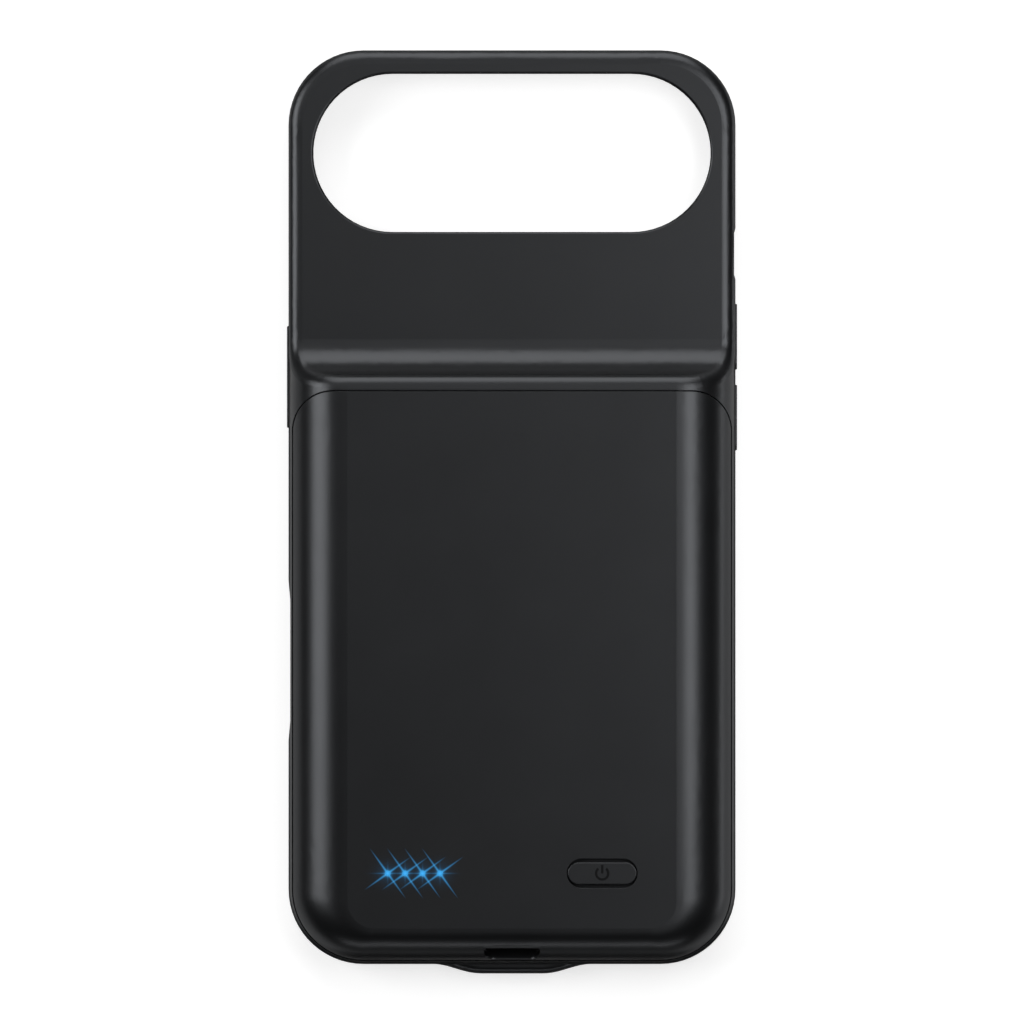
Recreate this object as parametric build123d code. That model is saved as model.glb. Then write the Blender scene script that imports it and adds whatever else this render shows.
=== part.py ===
from build123d import *
import math
import os

# Battery charging case for a slim phone, lying face down as it rests on a table.
# The screen side faces -Z, the battery hump faces +Z and the camera end points to +Y.
# All sizes are in millimetres.

# The phone that the cradle fits
phone_width = 74.7
phone_length = 156.2
phone_thickness = 5.64
phone_corner_radius = 11.1
phone_clearance = 0.1

# Walls of the cradle
side_wall = 2.05
top_wall = 1.95
bottom_wall = 3.15
lip_thickness = 1.0
lip_overhang = 1.2
lip_radius = 0.35
rim_radius = 0.8
upper_back_wall = 1.9
shoulder_drop = 2.1
edge_run = 2.4
edge_drop = 1.4
tray_floor = 1.0

# Camera window in the upper back
window_width = 70.2
window_height = 27.95
window_from_top = 4.18
window_edge_radius = 0.4

# Battery hump and the seam round its cover
cover_wall = 1.2
hump_side_run = 10.5
hump_end_run = 6.5
seam_from_top = 60.35
seam_inset = 0.85
seam_gap = 0.2
seam_corner_radius = 7.0

# Ramp from the upper back to the hump
ramp_slope = 70
ramp_wall = 1.85
ridge_land = 0.5

# Chin under the plug
chin_depth = 1.7
chin_flat = 10.8
chin_width = 28.7
chin_start = 0.5
chin_front_radius = 0.7
chin_back_radius = 1.3

# Keys in the side walls, each measured from the top edge to its centre
key_height = 2.8
key_corner_radius = 1.0
key_proud = 0.3
key_edge_radius = 0.2
key_flange = 0.9
key_flange_thickness = 0.5
key_travel = 0.4
key_clearance = 0.12
side_key_length = 18.0
side_key_from_top = 57.7
volume_key_length = 11.6
volume_up_from_top = 50.6
volume_down_from_top = 64.9

# Finger gaps in the side walls
gap_height = 4.4
gap_corner_radius = 1.6
control_gap_length = 21.4
control_gap_from_top = 107.8
control_gap_slope = 3.4
control_gap_scoop = 0.33
action_gap_length = 7.4
action_gap_from_top = 36.0
action_gap_slope = 0.8
action_gap_scoop = 0.25

# Sound slots in the bottom wall
sound_slot_length = 10.0
sound_slot_height = 1.8
sound_slot_offset = 22.5

# Power button in the cover
button_length = 12.2
button_width = 3.9
button_slot_length = 12.5
button_slot_width = 5.2
button_x = 15.9
button_from_bottom = 16.2
button_proud = 0.1
button_edge_radius = 0.18
button_flange = 0.7
button_flange_thickness = 0.5
button_flange_gap = 0.05
button_stem_diameter = 3.0

# Status lights in the cover
led_count = 4
led_pitch = 3.07
led_row_x = -17.3
led_hole_diameter = 1.0
led_fit = 0.05
light_bar_width = 2.2
light_bar_thickness = 0.7
led_length = 1.6
led_width = 0.8
led_height = 0.6
led_air_gap = 0.1

# Charging port at the bottom of the cover
port_slot_width = 9.9
port_slot_height = 2.66
port_slot_low_radius = 2.1
port_slot_high_radius = 0.4
port_lip_wall = 0.25
port_fall = 25
port_fit = 0.12
apron_ribbon_gap = 0.15
apron_board_gap = 0.1
port_width = 8.94
port_height = 3.16
port_length = 7.3
port_wall = 0.28
port_corner_radius = 1.4
port_recess = 1.9
tongue_width = 6.7
tongue_thickness = 0.7
tongue_length = 4.6
tongue_setback = 0.3

# Plug that enters the phone
plug_width = 8.25
plug_height = 2.4
plug_reach = 6.6
plug_wall = 0.3
plug_mouth_width = 6.8
plug_mouth_height = 0.8
plug_mouth_depth = 5.4
plug_hole_clearance = 0.15
plug_pocket_width = 13.2
plug_pocket_wall = 0.9
plug_pocket_depth = 1.95
plug_board_clearance = 0.15
plug_board_width = 12.6
plug_board_thickness = 0.8
plug_board_height = 4.8
ribbon_width = 8.0
ribbon_thickness = 0.2
ribbon_lap = 4.0

# Main board and what stands on it
board_width = 60.0
board_length = 21.0
board_corner_radius = 3.0
board_thickness = 0.8
board_standoff = 1.93
board_from_wall = 0.9
post_diameter = 3.6
screw_diameter = 1.3
screw_fit = 0.05
screw_hole_clearance = 0.15
screw_head_diameter = 2.4
screw_head_height = 0.6
screw_length = 2.2
screw_edge_distance = 2.6
switch_size = 4.5
switch_height = 1.6
plunger_diameter = 2.0
plunger_fit = 0.05
plunger_rise = 0.4
plunger_engagement = 0.5
inductor_size = 6.6
inductor_height = 2.8
inductor_corner_radius = 1.2
inductor_x = 2.0
inductor_lead_gap = 0.6
chip_size = 5.0
chip_x = -7.0
chip_y = 4.2
small_chip_size = 3.6
small_chip_x = 9.0
small_chip_y = -3.6
chip_height = 0.85
capacitor_length = 1.6
capacitor_width = 0.8
capacitor_height = 0.8
capacitor_count = 5
capacitor_pitch = 2.4
capacitor_x = -17.0
capacitor_y = -3.6
board_headroom = 0.27

# Battery cell and its protection board
cell_width = 60.0
cell_edge_radius = 1.4
cell_end_gap = 1.2
cell_board_gap = 2.8
cell_swell_gap = 0.5
tape_thickness = 0.2
tape_width = 12.0
terrace_length = 3.4
terrace_thickness = 0.5
protection_width = 40.0
protection_thickness = 0.8
tab_width = 5.0
tab_thickness = 0.15
tab_spacing = 24.0
tab_fold = 1.5
protection_gap = 0.3
lead_diameter = 1.0
lead_spacing = 6.0
lead_bend_radius = 0.9
lead_lap = 3.0
rib_thickness = 0.8
rib_height = 2.0
rib_length = 50.0
rib_gap = 0.4

# Levels, worked out from the sizes above
cavity_width = phone_width + 2 * phone_clearance
cavity_length = phone_length + 2 * phone_clearance
cavity_corner_radius = phone_corner_radius + phone_clearance
body_width = cavity_width + 2 * side_wall
main_length = cavity_length + top_wall + bottom_wall
corner_radius = cavity_corner_radius + side_wall
half_width = body_width / 2
half_cavity = cavity_width / 2
y_top = (main_length + chin_depth) / 2
y_bottom = y_top - main_length
y_chin = y_bottom - chin_depth
y_cavity_bottom = y_bottom + bottom_wall
y_seam = y_top - seam_from_top
y_window = y_top - window_from_top - window_height / 2
z_phone = lip_thickness + phone_clearance + phone_thickness / 2
z_back = lip_thickness + phone_thickness + 2 * phone_clearance
z_upper = z_back + upper_back_wall
z_shoulder = z_upper - shoulder_drop
z_floor = z_back + tray_floor
bay_height = board_standoff + board_thickness + inductor_height + board_headroom
z_bay = z_floor + bay_height
z_top = z_bay + cover_wall
z_above = z_top + 5
edge_stretch = edge_run / edge_drop

# Places on the main board and of the cell
y_cover_inside = y_bottom + seam_inset + cover_wall
y_board = y_cover_inside + board_from_wall + board_length / 2
y_board_far = y_board + board_length / 2
y_lead_end = y_board_far - lead_lap
z_board = z_floor + board_standoff
z_parts = z_board + board_thickness
y_button = y_bottom + button_from_bottom
y_cell_far = y_seam - cover_wall - cell_end_gap
y_terrace = y_board_far + cell_board_gap
y_cell_near = y_terrace + terrace_length
z_cell = z_floor + tape_thickness
cell_thickness = z_bay - cell_swell_gap - z_cell
z_terrace = z_cell + cell_thickness / 2
z_protection = z_terrace + terrace_thickness / 2
led_places = [led_row_x + led_pitch * (i - (led_count - 1) / 2) for i in range(led_count)]
screw_places = [
    (-board_width / 2 + screw_edge_distance, y_board_far - screw_edge_distance),
    (board_width / 2 - screw_edge_distance, y_board_far - screw_edge_distance),
    (-board_width / 2 + screw_edge_distance, y_board - board_length / 4),
    (board_width / 2 - screw_edge_distance, y_board - board_length / 4),
]


def prism(sketch, low, high):
    """A flat outline drawn from above, raised from one level to another."""
    return extrude(Pos(0, 0, low) * sketch, high - low)


def box_between(low, high):
    """A box from its lowest corner to its highest."""
    size = [b - a for a, b in zip(low, high)]
    middle = [(a + b) / 2 for a, b in zip(low, high)]
    return Pos(*middle) * Box(*size)


def on_side(sketch, x, y, z, thickness):
    """An outline drawn as length by height, set against a side wall and raised along +X."""
    plane = Plane(origin=(x, y, z), x_dir=(0, 1, 0), z_dir=(1, 0, 0))
    return extrude(plane * sketch, thickness)


def on_end(sketch, x, y, z, thickness):
    """An outline drawn as width by height, set against an end wall and raised along +Y."""
    plane = Plane(origin=(x, y, z), x_dir=(-1, 0, 0), z_dir=(0, 1, 0))
    return extrude(plane * sketch, thickness)


def case_outline():
    """The case seen from above, without its chin."""
    return Pos(0, (y_top + y_bottom) / 2) * RectangleRounded(body_width, main_length, corner_radius)


def seam_outline(offset):
    """The cover's outline, grown by the offset, with tighter corners towards the camera end."""
    half = half_width - seam_inset + offset
    low = y_bottom + seam_inset - offset
    high = y_seam + offset
    sheet = Pos(0, (low + high) / 2) * Rectangle(2 * half, high - low)
    rows = sheet.vertices().group_by(Axis.Y)
    sheet = fillet(rows[0], corner_radius - seam_inset + offset)
    rows = sheet.vertices().group_by(Axis.Y)
    return fillet(rows[-1], seam_corner_radius + offset)


def hump(inset, top, stretch=1):
    """The outside above the shoulder level as a loft of level outlines: its sides and its ends round over
    in quarter ellipses. It may be drawn taller than it is."""
    corner_run = (hump_side_run + hump_end_run) / 2
    levels = []
    for angle in range(0, 91, 10):
        drawn_in = 1 - math.cos(math.radians(angle))
        half = half_width - inset - hump_side_run * drawn_in
        low = y_bottom + inset + hump_end_run * drawn_in
        high = y_top - inset - hump_end_run * drawn_in
        radius = corner_radius - inset - corner_run * drawn_in
        level = z_shoulder + (top - z_shoulder) * math.sin(math.radians(angle))
        outline = RectangleRounded(2 * half, high - low, radius)
        levels.append(Pos(0, (low + high) / 2, level * stretch) * outline)
    return loft(levels)


def above_ramp(wall, stretch=1):
    """The space over the upper back and the ramp, seen along X and grown by a wall thickness. It may be drawn
    taller than it is."""
    slope = math.radians(ramp_slope)
    tall_slope = math.atan(edge_stretch * math.tan(slope))
    valley_radius = (z_top - z_upper - ramp_wall * math.sin(slope)) / (1 - math.cos(slope))
    y_crest = y_seam + ridge_land + edge_run * math.tan(tall_slope / 2)
    y_bend = y_crest + ramp_wall * math.cos(slope)
    y_foot = y_bend + valley_radius * math.sin(slope)
    y_above = y_crest - (z_above - z_top) / math.tan(slope)
    high = z_above * stretch
    low = z_upper * stretch
    bend = (z_top - ramp_wall * math.sin(slope)) * stretch
    valley_height = valley_radius * stretch
    middle = (y_foot, low + valley_height)
    valley = EllipticalCenterArc(middle, valley_radius, valley_height, 270 - ramp_slope, arc_size=ramp_slope)
    rest = Polyline((y_foot, low), (y_top + 5, low), (y_top + 5, high), (y_above, high), (y_bend, bend))
    profile = make_face(valley + rest)
    profile = offset(profile, wall, kind=Kind.INTERSECTION) if wall else profile
    plane = Plane(origin=(-body_width, 0, 0), x_dir=(0, 1, 0), z_dir=(1, 0, 0))
    return extrude(plane * profile, 2 * body_width)


def outer_body():
    """The whole outside of the case, hump included, before anything is hollowed."""
    base = prism(case_outline(), 0, z_shoulder)
    base = fillet(base.edges().group_by(Axis.Z)[0], rim_radius)
    return base + soft_upper() + chin()


def soft_upper():
    """The outside above the shoulder level, with one flattened edge round the upper back, up both sides of
    the ramp and along the ridge: a round edge on the same shape drawn taller, then set to its height."""
    tall = hump(0, z_top, edge_stretch) - above_ramp(0, edge_stretch)
    lowest = (z_shoulder + edge_drop / 2) * edge_stretch
    flat_faces = [f for f in tall.faces() if f.geom_type != GeomType.BSPLINE]
    ramp_faces = [f for f in flat_faces if f.center().Y > y_seam and f.center().Z > lowest]
    edges = [e for f in ramp_faces for e in f.edges()]
    rim = [e for e in edges if edges.count(e) == 1]
    return scale(fillet(rim, edge_run), by=(1, 1, 1 / edge_stretch))


def chin():
    """The bump at the bottom edge that makes room for the plug."""
    flat = chin_flat / 2
    half = chin_width / 2
    level = (-1, 0)
    inside = y_bottom + bottom_wall / 2
    edge = Spline((half, y_bottom), (flat, y_chin), tangents=[level, level])
    edge += Line((flat, y_chin), (-flat, y_chin))
    edge += Spline((-flat, y_chin), (-half, y_bottom), tangents=[level, level])
    edge += Polyline((-half, y_bottom), (-half, inside), (half, inside), (half, y_bottom))
    bump = prism(make_face(edge), chin_start, z_shoulder)
    back = [e for e in bump.edges().group_by(Axis.Z)[-1] if e.center().Y < y_bottom]
    bump = fillet(back, chin_back_radius)
    front = [e for e in bump.edges().group_by(Axis.Z)[0] if e.center().Y < y_bottom]
    return fillet(front, chin_front_radius)


def phone_space():
    """The room for the phone and the narrower mouth inside the front lip."""
    middle = Pos(0, y_cavity_bottom + cavity_length / 2)
    room = middle * RectangleRounded(cavity_width, cavity_length, cavity_corner_radius)
    mouth_width = cavity_width - 2 * lip_overhang
    mouth_length = cavity_length - 2 * lip_overhang
    mouth = middle * RectangleRounded(mouth_width, mouth_length, cavity_corner_radius - lip_overhang)
    return prism(room, lip_thickness, z_back) + prism(mouth, -1, lip_thickness)


def battery_bay():
    """The room under the cover, carried on under the ridge with an even wall."""
    reach = half_width - hump_side_run
    core = box_between((-reach, y_seam - cover_wall, z_floor), (reach, y_top, z_bay))
    return prism(seam_outline(seam_gap), z_floor, z_above) + (core - above_ramp(cover_wall))


key_pocket_depth = key_flange_thickness + key_travel + key_clearance


def key_outline(length, margin):
    """A key seen from the side, grown by a margin."""
    return RectangleRounded(length + 2 * margin, key_height + 2 * margin, key_corner_radius + margin)


def key_opening(hand, from_top, length):
    """The hole for a key's cap and the pocket behind it for its flange."""
    y = y_top - from_top
    hole = on_side(key_outline(length, key_clearance), half_cavity, y, z_phone, side_wall + 1)
    wide = key_outline(length, key_flange + key_clearance)
    pocket = on_side(wide, half_cavity - 1, y, z_phone, key_pocket_depth + 1)
    return handed(hole + pocket, hand)


def side_button(hand, from_top, length):
    """A side key: a cap that stands proud of the wall and a flange that keeps it in."""
    y = y_top - from_top
    x_flange = half_cavity + key_travel
    x_cap = x_flange + key_flange_thickness
    cap = on_side(key_outline(length, 0), x_cap, y, z_phone, half_width + key_proud - x_cap)
    cap = fillet(cap.faces().sort_by(Axis.X)[-1].edges(), key_edge_radius)
    flange = on_side(key_outline(length, key_flange), x_flange, y, z_phone, key_flange_thickness)
    return handed(cap + flange, hand)


def handed(shape, hand):
    """A shape made on the right, kept there or mirrored to the left."""
    return shape if hand > 0 else mirror(shape, about=Plane.YZ)


def finger_gap(hand, from_top, length, slope, scoop):
    """A gap through a side wall with a shallow scoop that slopes in at both ends."""
    y = y_top - from_top
    outline = RectangleRounded(length, gap_height, gap_corner_radius)
    hole = on_side(outline, half_cavity - 1, y, z_phone, side_wall + 2)
    inner = length / 2
    outer = inner + 2 * slope
    corners = [(half_width + scoop, y - outer), (half_width + scoop, y + outer)]
    corners += [(half_width - scoop, y + inner), (half_width - scoop, y - inner)]
    dish = prism(make_face(Polyline(*corners, close=True)), -1, z_above)
    return handed(hole + dish, hand)


# The plug's pocket in the bottom wall
y_pocket_high = y_cavity_bottom - plug_pocket_wall
y_pocket_low = y_pocket_high - plug_pocket_depth
y_plug_board = y_pocket_low + plug_board_clearance
y_plug_face = y_plug_board + plug_board_thickness
z_plug_board = z_phone - plug_board_height / 2


def plug_outline(margin):
    """The plug seen from its tip, grown by a margin."""
    height = plug_height + 2 * margin
    return SlotOverall(plug_width + 2 * margin, height)


def plug_room():
    """The pocket for the plug's board, open to the battery bay, and the hole for the plug."""
    half = plug_pocket_width / 2
    low = (-half, y_pocket_low, z_plug_board - plug_board_clearance)
    pocket = box_between(low, (half, y_pocket_high, z_floor + 1))
    hole = plug_outline(plug_hole_clearance)
    return pocket + on_end(hole, 0, y_pocket_high - 1, z_phone, plug_pocket_wall + 2)


def sound_slots():
    """Two slots through the bottom wall for the phone's loudspeaker and microphone."""
    slot = SlotOverall(sound_slot_length, sound_slot_height)
    cut = on_end(slot, sound_slot_offset, y_bottom - 1, z_phone, bottom_wall + 2)
    return cut + mirror(cut, about=Plane.YZ)


def bay_posts():
    """Posts under the main board and ribs beside the cell."""
    posts = prism(Circle(post_diameter / 2), z_floor, z_board)
    posts -= prism(Circle(screw_diameter / 2 + screw_fit), z_floor, z_board)
    rib_x = cell_width / 2 + rib_gap
    rib_y = (y_cell_near + y_cell_far - rib_length) / 2
    rib_end = (rib_x + rib_thickness, rib_y + rib_length, z_floor + rib_height)
    rib = box_between((rib_x, rib_y, z_floor), rib_end)
    return [Pos(x, y) * posts for x, y in screw_places] + [rib, mirror(rib, about=Plane.YZ)]


z_port = z_parts + port_height / 2


def hump_end(level):
    """Where the hump's rounded bottom end stands at a level."""
    rise = (level - z_shoulder) / (z_top - z_shoulder)
    return y_bottom + hump_end_run * (1 - math.sqrt(1 - rise**2))


def port_front():
    """Where the charging port's mouth stands, behind the hump's bottom end."""
    return hump_end(z_port) + port_recess


def cradle_frame():
    """The one-piece cradle: walls, front lip, upper back, ramp, ridge, chin and the battery bay's floor."""
    frame = outer_body() - phone_space()
    front = frame.faces().sort_by(Axis.Z)[0]
    frame = fillet(front.inner_wires()[0].edges(), lip_radius)
    frame -= prism(Pos(0, y_window) * SlotOverall(window_width, window_height), z_back - 1, z_above)
    back = [f for f in frame.faces() if abs(f.center().Z - z_upper) < 0.001]
    frame = fillet(back[0].inner_wires()[0].edges(), window_edge_radius)
    frame -= battery_bay()
    frame -= key_opening(-1, side_key_from_top, side_key_length)
    frame -= key_opening(1, volume_up_from_top, volume_key_length)
    frame -= key_opening(1, volume_down_from_top, volume_key_length)
    frame -= finger_gap(-1, control_gap_from_top, control_gap_length, control_gap_slope, control_gap_scoop)
    frame -= finger_gap(1, action_gap_from_top, action_gap_length, action_gap_slope, action_gap_scoop)
    frame -= plug_room()
    frame -= sound_slots()
    frame -= port_opening()
    return frame + bay_posts()


def port_slot():
    """The charging port's opening seen from its mouth, rounder below than above."""
    sheet = Rectangle(port_slot_width, port_slot_height)
    sheet = fillet(sheet.vertices().group_by(Axis.Y)[0], port_slot_low_radius)
    return fillet(sheet.vertices().group_by(Axis.Y)[-1], port_slot_high_radius)


def port_opening():
    """The opening for a charging plug: a thin lip at the mouth, a throat that widens behind it and room for
    the port."""
    y_outside = y_bottom - 1
    mouth = on_end(port_slot(), 0, y_outside, z_port, port_front() - y_outside)
    y_lip = hump_end(z_port - port_slot_height / 2)
    plane = Plane(origin=(0, y_lip, z_port), x_dir=(-1, 0, 0), z_dir=(0, 1, 0))
    throat = extrude(plane * port_slot(), port_front() - y_lip, taper=-port_fall)
    throat &= hump(port_lip_wall, z_top - port_lip_wall)
    throat &= box_between((-half_width, y_bottom, z_shoulder), (half_width, 0, z_port + port_slot_height / 2))
    y_room = port_front() - port_fit
    room = on_end(port_outline(port_fit), 0, y_room, z_port, port_length + port_fit)
    return mouth + throat + room


def port_apron():
    """The ledge inside the cover that closes the gap between its end wall and the main board."""
    half = port_slot_width / 2
    y_far = y_board - board_length / 2 - apron_board_gap
    low = (-half, y_cover_inside - cover_wall / 2, z_board + apron_ribbon_gap)
    return box_between(low, (half, y_far, z_parts))


def battery_cover():
    """The hump's cover: an even shell with the button slot, the light holes and the port's opening."""
    outside = hump(0, z_top) & prism(seam_outline(0), z_floor, z_above)
    inside = hump(cover_wall, z_bay) & prism(seam_outline(-cover_wall), z_floor - 1, z_above)
    cover = outside - inside + port_apron() - port_opening()
    slot = Pos(button_x, y_button) * SlotOverall(button_slot_length, button_slot_width)
    cover -= prism(slot, z_bay - 1, z_above)
    hole = Circle(led_hole_diameter / 2)
    return cover - [prism(Pos(x, y_button) * hole, z_bay - 1, z_above) for x in led_places]


z_plunger = z_parts + switch_height + plunger_rise


def power_button():
    """The button's cap, the flange that keeps it under the cover and the stem that meets the switch."""
    z_flange = z_bay - button_flange_gap
    cap = prism(SlotOverall(button_length, button_width), z_flange, z_top + button_proud)
    cap = fillet(cap.faces().sort_by(Axis.Z)[-1].edges(), button_edge_radius)
    flange_length = button_slot_length + 2 * button_flange
    flange_width = button_slot_width + 2 * button_flange
    flange = prism(SlotOverall(flange_length, flange_width), z_flange - button_flange_thickness, z_flange)
    stem = prism(Circle(button_stem_diameter / 2), z_plunger, z_flange - button_flange_thickness)
    return Pos(button_x, y_button) * (cap + flange + stem)


def switch_body():
    """The push switch's housing with the bore that its plunger slides in."""
    housing = prism(Rectangle(switch_size, switch_size), z_parts, z_parts + switch_height)
    bore_floor = z_plunger - 2 * plunger_rise - plunger_engagement
    bore = prism(Circle(plunger_diameter / 2 + plunger_fit), bore_floor, z_plunger)
    return Pos(button_x, y_button) * (housing - bore)


def switch_plunger():
    """The switch's plunger, up against the button's stem."""
    rod = prism(Circle(plunger_diameter / 2), z_plunger - plunger_rise - plunger_engagement, z_plunger)
    return Pos(button_x, y_button) * rod


def light_guide():
    """Four light pins that fill the cover's holes, joined by a bar under the cover."""
    bar_length = led_pitch * (led_count - 1) + light_bar_width
    bar = Pos(led_row_x, y_button) * SlotOverall(bar_length, light_bar_width)
    guide = prism(bar, z_bay - light_bar_thickness, z_bay)
    pin = Circle(led_hole_diameter / 2 - led_fit)
    z_pin = z_parts + led_height + led_air_gap
    return guide + [prism(Pos(x, y_button) * pin, z_pin, z_top) for x in led_places]


def status_leds():
    """The lights on the main board, one under each pin."""
    lamp = Rectangle(led_width, led_length)
    return Compound([prism(Pos(x, y_button) * lamp, z_parts, z_parts + led_height) for x in led_places])


def main_board():
    """The main board with its screw holes."""
    sheet = Pos(0, y_board) * RectangleRounded(board_width, board_length, board_corner_radius)
    hole = Circle(screw_diameter / 2 + screw_hole_clearance)
    sheet -= [Pos(x, y) * hole for x, y in screw_places]
    return prism(sheet, z_board, z_parts)


def board_screws():
    """The screws that hold the main board on its posts."""
    shank = prism(Circle(screw_diameter / 2), z_parts - screw_length, z_parts)
    head = prism(Circle(screw_head_diameter / 2), z_parts, z_parts + screw_head_height)
    return Compound([Pos(x, y) * (shank + head) for x, y in screw_places])


def boost_inductor():
    """The coil block of the voltage converter, clear of the leads' ends on the main board."""
    block = RectangleRounded(inductor_size, inductor_size, inductor_corner_radius)
    y = y_lead_end - inductor_lead_gap - inductor_size / 2
    return prism(Pos(inductor_x, y) * block, z_parts, z_parts + inductor_height)


def control_chips():
    """The two flat control chips."""
    large = Pos(chip_x, y_board + chip_y) * Rectangle(chip_size, chip_size)
    small = Pos(small_chip_x, y_board + small_chip_y) * Rectangle(small_chip_size, small_chip_size)
    return Compound([prism(chip, z_parts, z_parts + chip_height) for chip in (large, small)])


def filter_capacitors():
    """A row of small capacitors."""
    block = Rectangle(capacitor_length, capacitor_width)
    places = [capacitor_x + capacitor_pitch * i for i in range(capacitor_count)]
    rows = [Pos(x, y_board + capacitor_y) * block for x in places]
    return Compound([prism(row, z_parts, z_parts + capacitor_height) for row in rows])


def port_outline(margin):
    """The charging port seen from its mouth, grown by a margin."""
    return RectangleRounded(port_width + 2 * margin, port_height + 2 * margin, port_corner_radius + margin)


def charge_port_shell():
    """The charging port's metal shell."""
    return on_end(port_outline(0) - port_outline(-port_wall), 0, port_front(), z_port, port_length)


def charge_port_tongue():
    """The port's tongue and the block behind it."""
    y_block = port_front() + tongue_length + tongue_setback
    block_length = port_length - tongue_length - tongue_setback
    block = on_end(port_outline(-port_wall), 0, y_block, z_port, block_length)
    blade = Rectangle(tongue_width, tongue_thickness)
    return block + on_end(blade, 0, y_block - tongue_length, z_port, tongue_length)


plug_length = y_cavity_bottom + plug_reach - y_plug_face


def plug_shell():
    """The plug's metal shell, from its board to its tip."""
    return on_end(plug_outline(0) - plug_outline(-plug_wall), 0, y_plug_face, z_phone, plug_length)


def plug_core():
    """The plug's insulator with the slot that takes the phone's tongue."""
    core = on_end(plug_outline(-plug_wall), 0, y_plug_face, z_phone, plug_length)
    y_mouth = y_plug_face + plug_length - plug_mouth_depth
    mouth = Rectangle(plug_mouth_width, plug_mouth_height)
    return core - on_end(mouth, 0, y_mouth, z_phone, plug_mouth_depth)


def plug_board():
    """The small upright board that carries the plug."""
    half = plug_board_width / 2
    high = (half, y_plug_face, z_plug_board + plug_board_height)
    return box_between((-half, y_plug_board, z_plug_board), high)


def plug_ribbon():
    """The flat cable from the plug's board, up inside the cover's end and under the main board."""
    y_rise = (y_cover_inside + y_pocket_high - ribbon_thickness) / 2
    z_start = z_phone + plug_height / 2 + plug_board_clearance
    z_leave = z_plug_board + plug_board_height
    z_bend = z_floor - tray_floor / 2
    outer = [(y_plug_face, z_start), (y_plug_face, z_leave), (y_rise, z_bend), (y_rise, z_board)]
    outer += [(y_rise + ribbon_lap, z_board)]
    inner = [(y + ribbon_thickness, z) for y, z in outer[:3]]
    inner += [(y_rise + ribbon_thickness, z_board - ribbon_thickness)]
    inner += [(y_rise + ribbon_lap, z_board - ribbon_thickness)]
    strip = make_face(Polyline(*outer, *reversed(inner), close=True))
    plane = Plane(origin=(-ribbon_width / 2, 0, 0), x_dir=(0, 1, 0), z_dir=(1, 0, 0))
    return extrude(plane * strip, ribbon_width)


def battery_cell():
    """The pouch cell with rounded edges and the flat seal at the end where its tabs come out."""
    side = cell_width / 2
    pouch = box_between((-side, y_cell_near, z_cell), (side, y_cell_far, z_cell + cell_thickness))
    pouch = fillet(pouch.edges(), cell_edge_radius)
    half = side - cell_edge_radius
    seal_low = (-half, y_terrace, z_terrace - terrace_thickness / 2)
    return pouch + box_between(seal_low, (half, y_cell_near + cell_edge_radius, z_protection))


def cell_tape():
    """Two strips of tape that hold the cell on the tray's floor."""
    length = y_cell_far - y_cell_near - 2 * cell_edge_radius
    strip = Pos(0, (y_cell_near + y_cell_far) / 2) * Rectangle(tape_width, length)
    x = cell_width / 2 - tape_width
    return Compound([prism(Pos(hand * x, 0) * strip, z_floor, z_cell) for hand in (-1, 1)])


def protection_board():
    """The small board that lies on the cell's seal."""
    half = protection_width / 2
    low = (-half, y_terrace + protection_gap, z_protection)
    return box_between(low, (half, y_cell_near - protection_gap, z_protection + protection_thickness))


def cell_tabs():
    """The cell's two tabs, folded up from the seal's edge and over the protection board."""
    top = z_protection + protection_thickness
    outer = y_terrace - tab_thickness
    inner = y_terrace + tab_fold
    foot = [(y_terrace, z_terrace), (outer, z_terrace), (outer, top + tab_thickness)]
    fold = [(inner, top + tab_thickness), (inner, top), (y_terrace, top)]
    plane = Plane(origin=(-tab_width / 2, 0, 0), x_dir=(0, 1, 0), z_dir=(1, 0, 0))
    tab = extrude(plane * make_face(Polyline(*foot, *fold, close=True)), tab_width)
    return Compound([Pos(hand * tab_spacing / 2, 0) * tab for hand in (-1, 1)])


def lead(hand):
    """A short lead from the protection board to the main board, lying on both."""
    radius = lead_diameter / 2
    high = z_protection + protection_thickness + radius
    low = z_parts + radius
    x = hand * lead_spacing / 2
    start = y_cell_near - protection_gap - radius
    turns = [(x, start, high), (x, y_terrace, high), (x, y_board_far, low), (x, y_lead_end, low)]
    path = FilletPolyline(*turns, radius=lead_bend_radius)
    return sweep(Plane((x, start, high), z_dir=(0, -1, 0)) * Circle(radius), path=path)


pieces = {
    "cradle_frame": cradle_frame,
    "battery_cover": battery_cover,
    "power_button": power_button,
    "light_guide": light_guide,
    "side_key": lambda: side_button(-1, side_key_from_top, side_key_length),
    "volume_up_key": lambda: side_button(1, volume_up_from_top, volume_key_length),
    "volume_down_key": lambda: side_button(1, volume_down_from_top, volume_key_length),
    "charge_port_shell": charge_port_shell,
    "charge_port_tongue": charge_port_tongue,
    "plug_shell": plug_shell,
    "plug_core": plug_core,
    "plug_board": plug_board,
    "plug_ribbon": plug_ribbon,
    "battery_cell": battery_cell,
    "cell_tape": cell_tape,
    "cell_tabs": cell_tabs,
    "protection_board": protection_board,
    "lead_positive": lambda: lead(1),
    "lead_negative": lambda: lead(-1),
    "main_board": main_board,
    "switch_body": switch_body,
    "switch_plunger": switch_plunger,
    "status_leds": status_leds,
    "boost_inductor": boost_inductor,
    "control_chips": control_chips,
    "filter_capacitors": filter_capacitors,
    "board_screws": board_screws,
}

if __name__ == "__main__":
    os.makedirs("parts", exist_ok=True)
    for name, make in pieces.items():
        export_step(make(), "parts/" + name + ".step")
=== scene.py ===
"""Looks of a battery charging case: finishes for its solids, the small mark and contacts that the solids
leave out, and the plain stage that it lies on."""

import math

import bmesh
import bpy
from bpy.props import FloatProperty, FloatVectorProperty, IntProperty, PointerProperty
from mathutils import Matrix, Vector


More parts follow.
